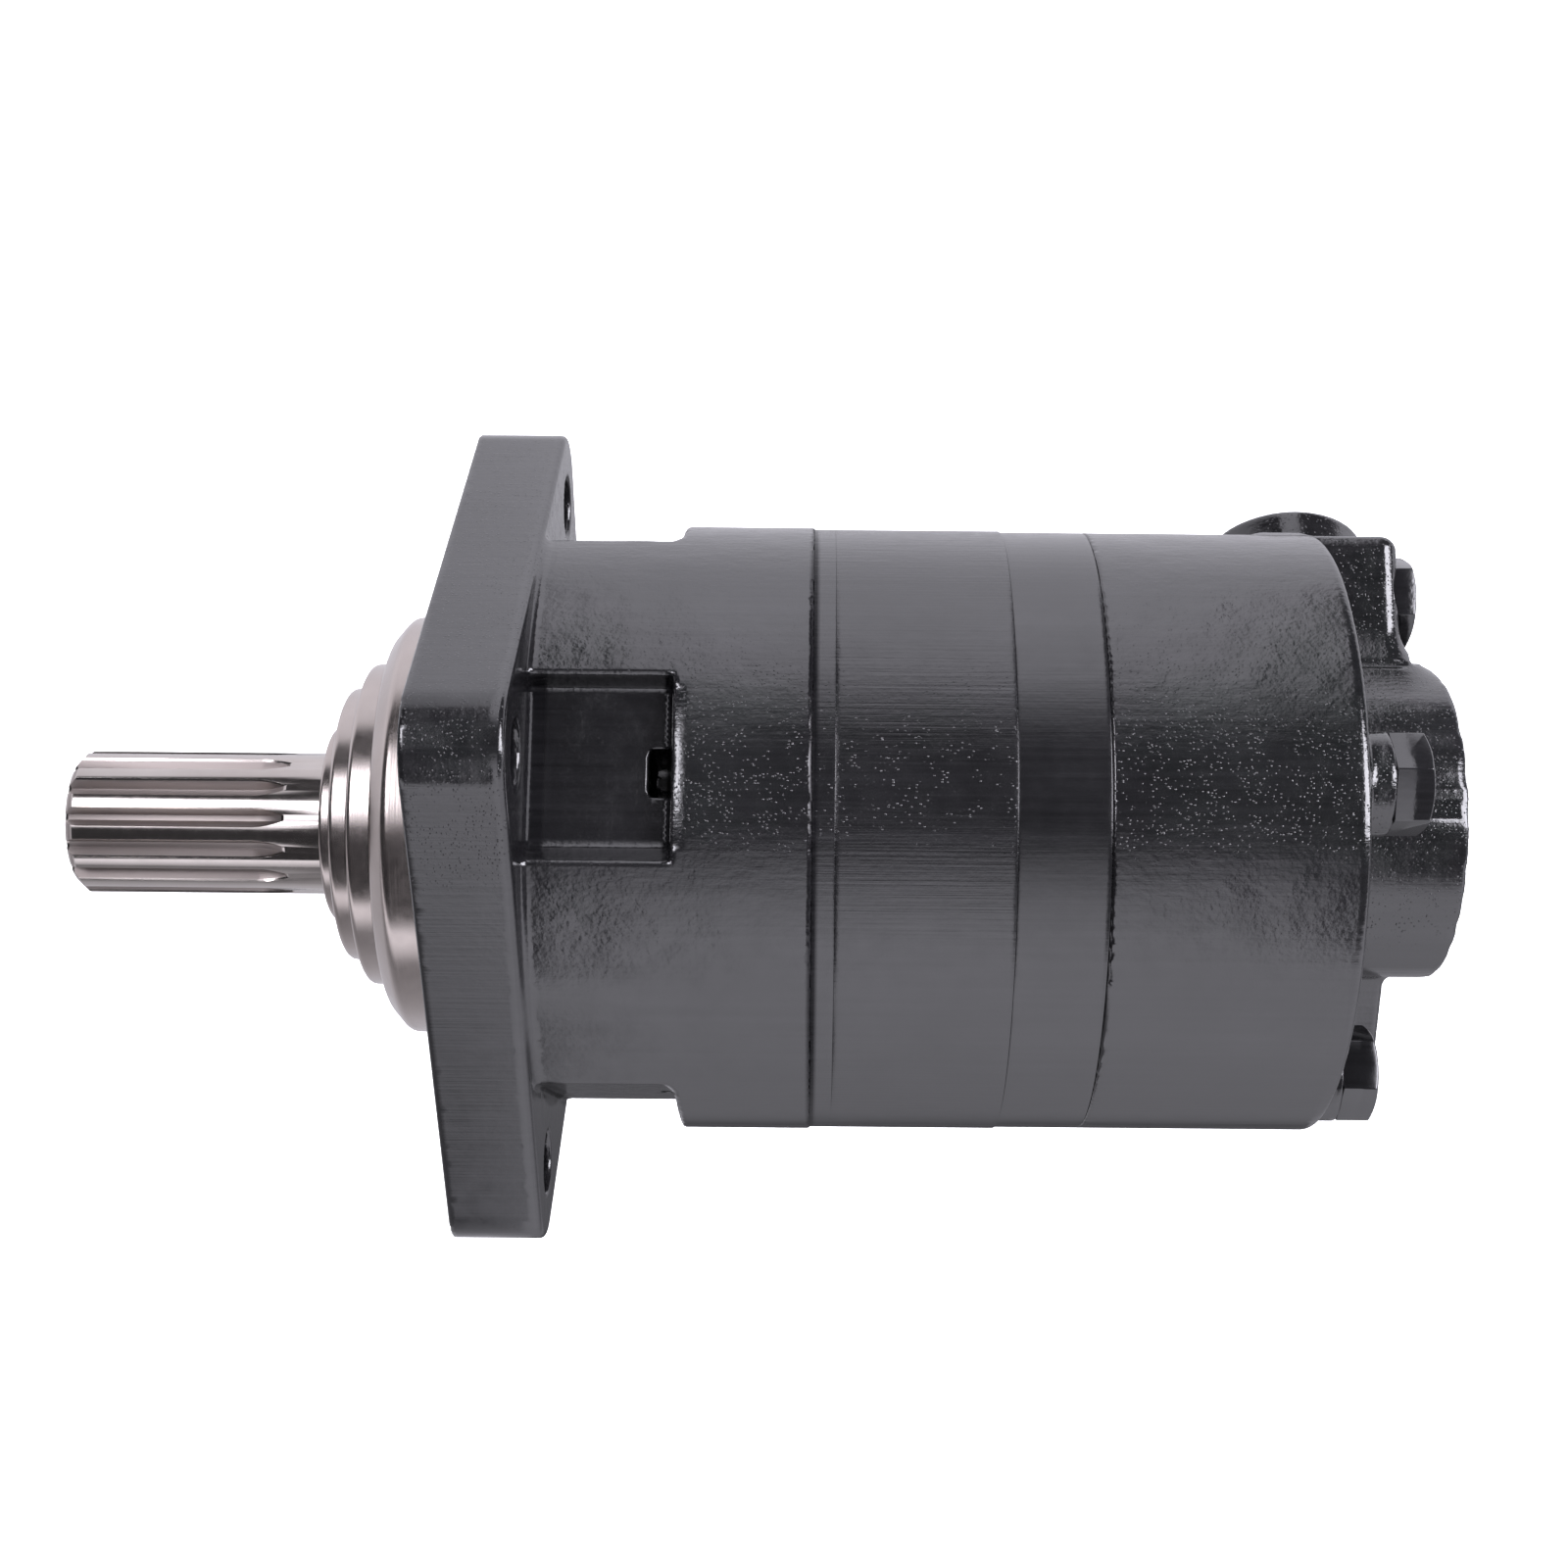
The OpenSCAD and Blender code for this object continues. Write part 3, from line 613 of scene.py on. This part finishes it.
def settled_specks(m, x, radius):
    """Clusters of fine specks that settled on the upper side, leaving the pocket floors clean."""
    cells = m.add("ShaderNodeTexVoronoi")
    cells.inputs["Scale"].default_value = 1.0
    m.link(m.stretched((1.35, 1.35, 1.35)), cells.inputs["Vector"])
    chance = m.add("ShaderNodeSeparateColor")
    m.link(cells.outputs["Color"], chance.inputs[0])
    dots = m.between(cells.outputs["Distance"], 1, 0, 0.03, 0.31, "SMOOTHSTEP")
    dots = m.math("MULTIPLY", dots, m.between(chance.outputs[0], 0.1, 1, 0.1, 0.7))
    dots = m.math("MULTIPLY", dots, m.between(m.noise((0.2, 0.2, 0.2), 3), 0, 1, 0.36, 0.54))
    rear = m.between(x, 0, 1, 184 * MM, 186 * MM)
    upper = m.between(m.height(), 0, 1, 30 * MM, 38 * MM)
    upper = m.math("MAXIMUM", upper, m.math("MULTIPLY", rear, m.between(m.height(), 0, 1, -14 * MM, -4 * MM)))
    crown = m.between(m.height(), 1, 0.15, 52 * MM, 60 * MM)
    crown = m.math("MAXIMUM", crown, m.math("MAXIMUM", rear, m.between(x, 1, 0, 19 * MM, 21 * MM)))
    floor = m.math("MULTIPLY", m.inside(x, 20, 47.5), m.between(radius, 1, 0, 60 * MM, 62 * MM))
    amount = m.math("MULTIPLY", m.math("MULTIPLY", upper, crown), m.math("SUBTRACT", 1.0, floor))
    return m.math("MULTIPLY", dots, amount)


def bare_steel(name, colour, shade, rough, groove_depth, groove_scale):
    """Bare machined steel with fine tool marks round the axis."""
    m = Nodes(bpy.data.materials.new(name))
    stain = m.noise((0.08, 0.08, 0.08), 4)
    m.set(Base_Color=m.blend(stain, shade, colour), Metallic=1.0)
    marks = m.add("ShaderNodeTexNoise")
    marks.inputs["Scale"].default_value = groove_scale / MM
    marks.inputs["Detail"].default_value = 2.0
    m.link(m.around(), marks.inputs["Vector"])
    m.set(Roughness=m.between(m.noise((0.5, 0.5, 0.5), 3), rough - 0.04, rough + 0.08))
    m.set(Normal=m.bump(marks.outputs["Fac"], groove_depth))
    return m.owner


def spline_steel():
    """Ground shaft steel, with darker and duller spline grooves."""
    m = Nodes(bare_steel("shaft_steel", (0.46, 0.43, 0.405), (0.36, 0.327, 0.305), 0.14, 0.004, 3.0))
    x, radius = m.x_and_radius()
    deep = m.between(radius, 1, 0, 15.0 * MM, 15.4 * MM)
    groove = m.math("MULTIPLY", deep, m.between(x, 0, 1, -84.9 * MM, -84.6 * MM))
    colour = m.shader.inputs["Base Color"].links[0].from_socket
    m.link(m.blend(groove, colour, (0.3, 0.265, 0.25)), m.shader.inputs["Base Color"])
    rough = m.shader.inputs["Roughness"].links[0].from_socket
    m.set(Roughness=m.math("MAXIMUM", rough, m.math("MULTIPLY", groove, 0.48)))
    return m.owner


def rubber():
    m = Nodes(bpy.data.materials.new("rubber_seal"))
    m.set(Base_Color=m.blend(m.noise((0.4, 0.4, 0.4)), (0.012, 0.012, 0.012), (0.03, 0.03, 0.03)))
    m.set(Roughness=m.between(m.noise((1.5, 1.5, 1.5)), 0.55, 0.75))
    m.set(Normal=m.bump(m.noise((2.5, 2.5, 2.5)), 0.02))
    return m.owner


paint_cast = black_paint("paint_on_casting", 0.05, 0.07, 0.025, 0.14, 0.14)
paint_ring = black_paint("paint_on_ring", 0.04, 0.05, 0.08, 0.17, 0.06)
paint_smooth = black_paint("paint_on_plate", 0.02, 0.02, 0.03, 0.15, 0.0)
paint_bolt = black_paint("paint_on_bolts", 0.02, 0.01, 0.0, 0.09, 0.0)
steel_nose = bare_steel("turned_nose", (0.44, 0.4, 0.378), (0.33, 0.29, 0.27), 0.2, 0.01, 2.5)
steel_shaft = spline_steel()
steel_inside = bare_steel("inner_steel", (0.60, 0.60, 0.61), (0.45, 0.45, 0.47), 0.28, 0.01, 2.0)
steel_bearing = bare_steel("bearing_steel", (0.72, 0.72, 0.74), (0.6, 0.6, 0.62), 0.16, 0.004, 4.0)
steel_cage = bare_steel("cage_steel", (0.42, 0.40, 0.37), (0.3, 0.28, 0.26), 0.38, 0.01, 1.0)
steel_plated = bare_steel("plated_steel", (0.66, 0.66, 0.64), (0.5, 0.5, 0.49), 0.3, 0.006, 2.0)
rubber_seal = rubber()

FINISHES = {
    "black_paint_cast": paint_cast,
    "black_paint_machined": paint_ring,
    "black_bolt": paint_bolt,
    "turned_steel": steel_nose,
    "shaft_steel": steel_shaft,
    "machined_steel": steel_inside,
    "bearing_steel": steel_bearing,
    "cage_steel": steel_cage,
    "plated_steel": steel_plated,
    "rubber": rubber_seal,
}


def finish_cad_nodes():
    """Gives every CAD node the finish of its material slot."""
    slots = {row["node"]: row["material_slot"] for row in frame["record"]["subparts"]}
    for name, ob in frame["nodes"].items():
        ob.data.materials.clear()
        ob.data.materials.append(FINISHES[slots[name]])


def stands_for(ob, node, material, body):
    ob.data.materials.clear()
    ob.data.materials.append(material)
    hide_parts(node)
    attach(ob, body)
    return ob


# ---------------------------------------------------------------- pieces

def make_housing():
    ob = surface("housing_casting", "bearing_housing", housing_shape, cast_relief)
    stands_for(ob, "bearing_housing", paint_cast, "housing")


def make_valve_housing():
    ob = surface("valve_casting", "valve_housing", valve_housing_shape, cast_relief)
    stands_for(ob, "valve_housing", paint_cast, "housing")


def make_sections():
    holes = bolt_outlines(CASE_BOLT_HOLE)
    wear = plate("wear_section", [circle(ring_radius, 512), circle(19, 96), *holes],
                 wear_low[0], wear_high[0], 0.08, 4)
    stands_for(wear, "wear_plate", paint_ring, "housing")
    bore = gerotor_outline(ROLLER_PITCH_R, ROLLER_R, RING_INNER_R, ROLLERS)
    ring = plate("ring_section", [circle(ring_radius, 512), bore, *holes],
                 ring_low[0], ring_high[0], 0.08, 30)
    stands_for(ring, "gerotor_ring", paint_ring, "housing")
    passages = []
    for i in range(ROLLERS):
        a = math.radians((i + 0.5) * 360 / ROLLERS)
        passages.append(circle(PASSAGE_R, 32, PASSAGE_PITCH_R * math.cos(a), PASSAGE_PITCH_R * math.sin(a)))
    smooth = plate("plate_section", [circle(valve_radius, 512), circle(18.5, 96), *holes, *passages],
                   plate_low[0], plate_high[0], 0.15, 16)
    stands_for(smooth, "valve_plate", paint_smooth, "housing")


def make_nose():
    """The stepped nose, with its front edge rounded at each step."""
    seat_r = nose_high[2]
    r1, r2, r3, r4 = 21.3, 30.0, 35.4, seat_r - 0.5
    front = nose_low[0]
    outside = [(-23.7, 19.25), (front, 19.25), (front, r1), (-25.3, r1), (-25.3, r2), (-20.5, r2),
               (-20.5, r3), (-14.6, r3), (-14.6, r4 - 4.4), (-10.8, r4), (0, r4), (0, seat_r),
               (2.98, seat_r), (2.98, 41.98), (nose_high[0], 41.98), (nose_high[0], 30),
               (-4, 30), (-4, 28.02), (-17, 28.02), (-17, 18.3), (-22, 18.3), (-22, 16),
               (-23.7, 16)]
    closed = [outside[-1], *outside, outside[0]]
    profile = rounded_profile(closed, 1.3)[1:-1]
    ob = lathe("nose_turning", profile, 288)
    stands_for(ob, "pilot_nose", steel_nose, "housing")


def make_fasteners():
    ob = softened("case_bolt_set", "case_bolts", 0.35, 3, 24)
    stands_for(ob, "case_bolts", paint_bolt, "housing")
    ob = softened("drain_plug_hex", "drain_plug", 0.3)
    stands_for(ob, "drain_plug", steel_plated, "housing")


def make_shaft():
    ob = softened("splined_shaft", "output_shaft", 0.15)
    stands_for(ob, "output_shaft", steel_shaft, "shaft")


finish_cad_nodes()
make_housing()
make_valve_housing()
make_sections()
make_nose()
make_fasteners()
make_shaft()


# ---------------------------------------------------------------- floor, light and camera

FLOOR_HEIGHT = -0.30


def make_floor(height):
    mesh = bpy.data.meshes.new("floor")
    bm = bmesh.new()
    bmesh.ops.create_grid(bm, x_segments=8, y_segments=8, size=6.0)
    bm.to_mesh(mesh)
    bm.free()
    floor = new_object("floor", mesh)
    floor.location = (0, 0, height)
    m = Nodes(bpy.data.materials.new("pale_floor"))
    m.set(Base_Color=(0.9, 0.9, 0.9, 1), Roughness=0.9, Emission_Color=(1, 1, 1, 1), Emission_Strength=0.8)
    mesh.materials.append(m.owner)
    floor.visible_glossy = False
    floor.visible_diffuse = False


def ramp(nodes, angle, stops):
    """Brightness against an angle in degrees, from -180 to 180."""
    node = nodes.add("ShaderNodeValToRGB")
    elements = node.color_ramp.elements
    while len(elements) < len(stops):
        elements.new(0.5)
    for element, (degrees, value) in zip(elements, stops):
        element.position = (degrees + 180) / 360
        element.color = (value, value, value, 1)
    nodes.link(nodes.between(angle, 0, 1, -180, 180), node.inputs[0])
    return node.outputs[0]


SURROUNDINGS = 2.9
PANEL = 1.8
RIGHT_PANEL = PANEL * 8
LAMP = PANEL * 7


def make_world():
    """Soft studio surroundings: a bright ceiling, a dark front wall and a panel at each side."""
    world = bpy.data.worlds.new("studio")
    bpy.context.scene.world = world
    w = Nodes(world)
    split = w.add("ShaderNodeSeparateXYZ")
    w.link(w.coords.outputs["Generated"], split.inputs[0])
    front = w.math("MULTIPLY", split.outputs[1], -1.0)
    rise = w.math("MULTIPLY", w.math("ARCTAN2", split.outputs[2], front), 180 / math.pi)
    along = w.math("MULTIPLY", w.math("ARCSINE", split.outputs[0]), 180 / math.pi)
    middle = ramp(w, rise, [
        (-180, 0.38), (-155, 0.23), (-138, 0.05), (-120, 0.04), (-105, 0.16), (-92, 0.25),
        (-72, 0.43), (-51, 0.63), (-34, 0.71), (-8, 0.77), (8, 0.62), (22, 0.33), (31, 0.08), (40, 0.045),
        (68, 0.045), (80, 0.31), (94, 0.75), (120, 0.8), (141, 0.6), (161, 0.5), (180, 0.38)])
    left = ramp(w, rise, [
        (-180, 0.38), (-140, 0.27), (-100, 0.27), (-47, 0.1), (-34, 0.64), (-27, 0.68), (-21, 0.02),
        (30, 0.02), (104, 0.02), (111, 0.42), (150, 0.48), (180, 0.38)])
    right = ramp(w, rise, [
        (-180, 0.38), (-140, 0.1), (-100, 0.2), (-50, 0.6), (-18, 0.68), (-4, 0.06), (60, 0.04),
        (132, 0.05), (144, 0.55), (180, 0.38)])
    is_left = w.between(along, 1, 0, -7.8, -6.6, "SMOOTHSTEP")
    is_right = w.between(along, 0, 1, 12.8, 14.0, "SMOOTHSTEP")
    high = w.between(rise, 0, 1, 33, 38, "SMOOTHSTEP")
    low = w.between(rise, 1, 0, 76, 80, "SMOOTHSTEP")
    band = w.math("MULTIPLY", high, low)
    near_end = w.between(along, 1, 0, -13.5, -11, "SMOOTHSTEP")
    far_end = w.between(along, 0, 1, -34, -30, "SMOOTHSTEP")
    left_panel = w.math("MULTIPLY", band, w.math("MULTIPLY", near_end, far_end))
    right_panel = w.math("MULTIPLY", band, w.between(along, 0, 1, 25, 29, "SMOOTHSTEP"))
    lamp = w.math("MULTIPLY", w.between(rise, 0, 1, 42, 46), w.between(rise, 1, 0, 70, 74))
    lamp = w.math("MULTIPLY", lamp, w.math("MULTIPLY", w.between(along, 1, 0, -22, -19.5), far_end))
    soft = middle
    for side, amount in ((left, is_left), (right, is_right)):
        mix = w.add("ShaderNodeMix", data_type="FLOAT")
        for socket, value in (("Factor", amount), ("A", soft), ("B", side)):
            w.link(value, mix.inputs[socket])
        soft = mix.outputs["Result"]
    soft = w.math("MULTIPLY", soft, SURROUNDINGS)
    lit = w.math("ADD", soft, w.math("MULTIPLY", left_panel, PANEL))
    lit = w.math("ADD", lit, w.math("MULTIPLY", right_panel, RIGHT_PANEL))
    lit = w.math("ADD", lit, w.math("MULTIPLY", lamp, LAMP))
    background = w.tree.nodes["Background"]
    background.inputs["Color"].default_value = (0.985, 0.97, 1.06, 1)
    w.link(lit, background.inputs["Strength"])


def make_camera():
    elevation = math.radians(34.46)
    roll = 0.0091
    distance = 0.50326
    along = 0.0764
    back = Vector((0, -math.cos(elevation), math.sin(elevation)))
    up = Vector((0, math.sin(elevation), math.cos(elevation)))
    ahead = Vector((1, 0, 0))
    right = ahead * math.cos(roll) + up * math.sin(roll)
    above = up * math.cos(roll) - ahead * math.sin(roll)
    turn = Matrix((right, above, back)).transposed().to_4x4()
    data = bpy.data.cameras.new("camera")
    data.lens = 52.08
    data.sensor_width = 36.0
    data.shift_x = -0.0191
    data.shift_y = 0.0281
    camera = bpy.data.objects.new("camera", data)
    camera.matrix_world = Matrix.Translation(back * distance + ahead * along) @ turn
    bpy.context.scene.collection.objects.link(camera)
    bpy.context.scene.camera = camera


make_floor(FLOOR_HEIGHT)
make_world()
make_camera()
bpy.context.scene.view_settings.view_transform = "Standard"
